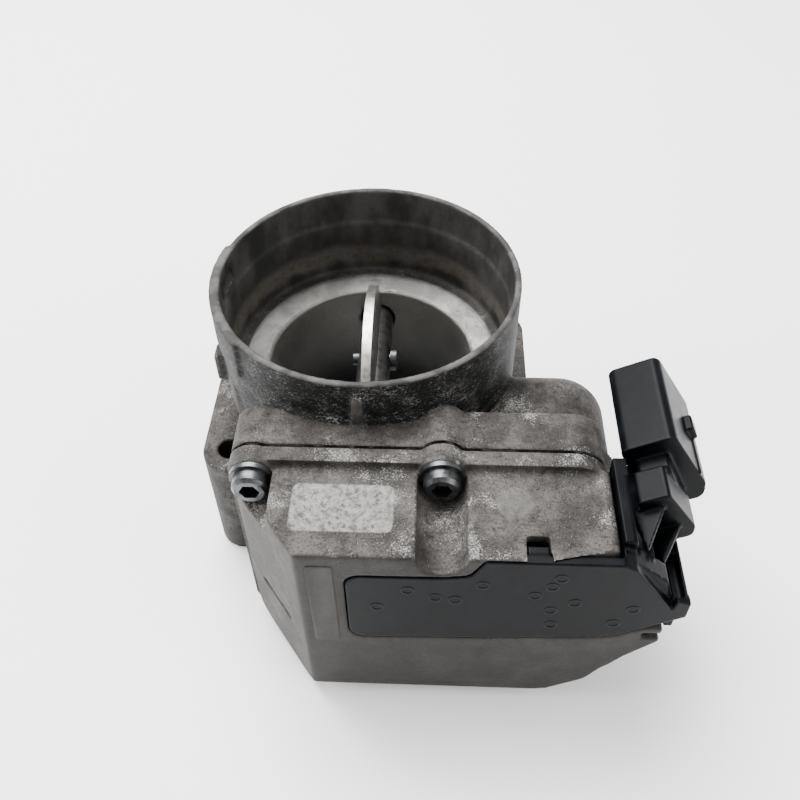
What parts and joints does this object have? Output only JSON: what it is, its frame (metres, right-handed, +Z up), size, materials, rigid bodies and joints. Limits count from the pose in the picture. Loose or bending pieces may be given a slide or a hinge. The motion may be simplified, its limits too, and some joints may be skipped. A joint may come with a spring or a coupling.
{
  "type": "throttle body",
  "caption": "Electronic throttle body with a round neck, a bolted mounting block, a geared motor drive under a cast cover and a side connector.",
  "frame": {"origin": "centre of the throttle bore at the manifold mounting face", "axes": "+Z up the bore to the charge-pipe socket, -Y to the gear cover, +X to the connector"},
  "size_m": [0.132, 0.122, 0.08],
  "materials": {
    "cast_aluminium": "weathered die casting, matt",
    "cover_aluminium": "weathered die casting, matt",
    "machined_plate": "machined, bright",
    "steel": "ground steel",
    "zinc_screw": "blue zinc plate",
    "black_plastic": "satin moulded plastic",
    "gear_plastic": "natural glass-filled nylon",
    "sintered_gear": "sintered steel",
    "seal_rubber": "black rubber",
    "green_seal": "green rubber",
    "gasket_paper": "thin black gasket",
    "board_green": "circuit board",
    "chip_black": "moulded chip",
    "copper": "enamelled copper",
    "brass": "bright brass",
    "magnet": "ferrite",
    "motor_steel": "zinc-plated sheet steel",
    "core_steel": "laminated steel",
    "carbon": "carbon",
    "spring_steel": "spring wire"
  },
  "bodies": {
    "housing": {"throttle_housing": "cast_aluminium", "gear_cover": "cover_aluminium", "cover_gasket": "gasket_paper", "cover_screws": "zinc_screw", "connector_carrier": "black_plastic", "connector_pins": "brass", "carrier_seal": "seal_rubber", "sensor_board": "board_green", "board_chips": "chip_black", "manifold_seal": "green_seal", "front_bearing": "steel", "rear_bearing": "steel", "shaft_seal": "seal_rubber", "rear_plug": "steel", "motor_can": "motor_steel", "motor_magnets": "magnet", "motor_end_plate": "motor_steel", "brush_holder": "black_plastic", "carbon_brushes": "carbon", "motor_terminals": "brass", "motor_bushes": "brass", "motor_screws": "steel", "motor_washer": "spring_steel", "idler_pin": "steel", "idler_washer": "steel", "return_spring": "spring_steel"},
    "throttle": {"throttle_shaft": "steel", "throttle_plate": "machined_plate", "plate_screws": "zinc_screw", "sector_gear": "gear_plastic", "sensor_rotor": "copper"},
    "idler": {"idler_gear": "gear_plastic"},
    "motor_rotor": {"motor_shaft": "steel", "armature_core": "core_steel", "armature_windings": "copper", "commutator": "copper", "motor_pinion": "sintered_gear"}
  },
  "joints": [
    {"name": "throttle_turn", "type": "hinge", "parent": "housing", "child": "throttle", "pos_m": [0, 0, 0.039], "axis": [0, -1, 0], "range_deg": [0, 84], "stiffness_Nm_per_rad": 0.15, "springref_deg": -51.57},
    {"name": "idler_turn", "type": "hinge", "parent": "housing", "child": "idler", "pos_m": [0.0254, 0, 0.02699], "axis": [0, -1, 0], "range_deg": [-285, 5]},
    {"name": "motor_turn", "type": "hinge", "parent": "housing", "child": "motor_rotor", "pos_m": [0.045, 0, 0.038], "axis": [0, -1, 0], "range_deg": [-5, 1030]}
  ],
  "couplings": [
    {"joint": "idler_turn", "follows": "throttle_turn", "ratio": -3.3077},
    {"joint": "motor_turn", "follows": "throttle_turn", "ratio": 12.128}
  ]
}
